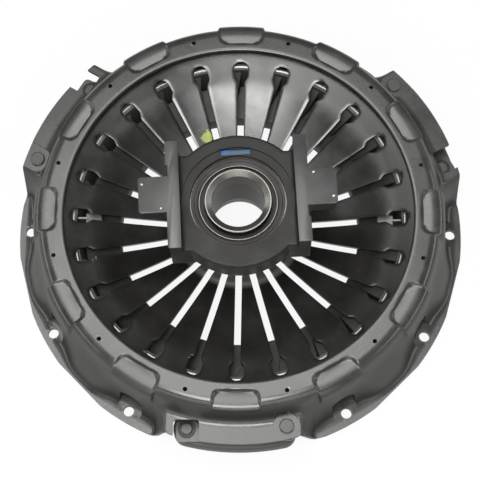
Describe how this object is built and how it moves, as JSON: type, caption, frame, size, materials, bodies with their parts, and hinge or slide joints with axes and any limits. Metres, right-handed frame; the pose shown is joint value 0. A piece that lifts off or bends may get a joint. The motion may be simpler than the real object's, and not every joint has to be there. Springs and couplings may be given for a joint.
{
  "type": "clutch pressure plate",
  "caption": "Pull-type clutch cover with pressure plate, slotted diaphragm spring and a release bearing in a two-eared housing, held by rivets and spring straps.",
  "frame": {"origin": "centre of the bolt circle in the flange's face that meets the flywheel", "axes": "+Z along the shaft towards the gearbox, +X to the right of the picture; the strap bridge at the bottom of the picture is centred on -Y"},
  "size_m": [0.4766, 0.4793, 0.1425],
  "materials": {
    "cover_sheet": "satin mid-grey coating with a metallic sheen",
    "spring_steel": "phosphated spring steel, dark grey and satin",
    "cast_plate": "as cast, machined on the friction face and the ridge",
    "block_steel": "milled, lightly oiled",
    "strap_steel": "cold rolled spring strip, satin",
    "rivet_steel": "headed steel, slightly oiled",
    "dark_washer": "blackened",
    "sleeve_steel": "turned and ground, bright",
    "bush_steel": "ground sliding surface",
    "dark_steel": "blackened steel",
    "wire_steel": "drawn wire",
    "race_steel": "ground bearing steel",
    "ball_steel": "polished bearing steel",
    "cage_plastic": "moulded, natural colour",
    "seal_rubber": "moulded seal, dark brown",
    "cast_housing": "as cast with a dark phosphate coating",
    "wear_steel": "hardened sheet, phosphated",
    "bright_rivet": "bright steel",
    "blue_plastic": "moulded, blue"
  },
  "bodies": {
    "cover": {"cover": "cover_sheet", "fulcrum_ring": "wire_steel", "diaphragm_spring": "spring_steel", "drive_straps_a": "strap_steel", "drive_straps_b": "strap_steel", "drive_straps_c": "strap_steel", "cover_rivets": "rivet_steel"},
    "plate": {"pressure_plate": "cast_plate", "stop_blocks": "block_steel", "plate_rivets": "rivet_steel", "plate_washers": "dark_washer"},
    "sleeve": {"bearing_sleeve": "sleeve_steel", "guide_bush": "bush_steel", "support_ring": "dark_steel", "preload_spring": "dark_steel", "pull_ring": "dark_steel", "snap_ring": "wire_steel", "inner_race": "race_steel"},
    "housing": {"outer_race": "race_steel", "bearing_balls": "ball_steel", "ball_cage": "cage_plastic", "face_seal": "seal_rubber", "rear_shield": "dark_steel", "race_circlip": "wire_steel", "bearing_housing": "cast_housing", "wear_plate_left": "wear_steel", "wear_plate_right": "wear_steel", "wear_plate_rivets": "bright_rivet", "lock_clip": "blue_plastic"}
  },
  "joints": [
    {"name": "bearing_travel", "type": "slide", "parent": "cover", "child": "sleeve", "axis": [0, 0, 1], "range_m": [0, 0.012], "stiffness_N_per_m": 9000, "springref_m": -0.01, "deforming": ["diaphragm_spring"]},
    {"name": "plate_lift", "type": "slide", "parent": "cover", "child": "plate", "axis": [0, 0, 1], "range_m": [0, 0.0025], "deforming": ["drive_straps_a", "drive_straps_b", "drive_straps_c"]},
    {"name": "housing_spin", "type": "hinge", "parent": "sleeve", "child": "housing", "pos_m": [0, 0, 0.086], "axis": [0, 0, 1], "continuous": true}
  ],
  "couplings": [
    {"joint": "plate_lift", "follows": "bearing_travel", "ratio": 0.2}
  ]
}
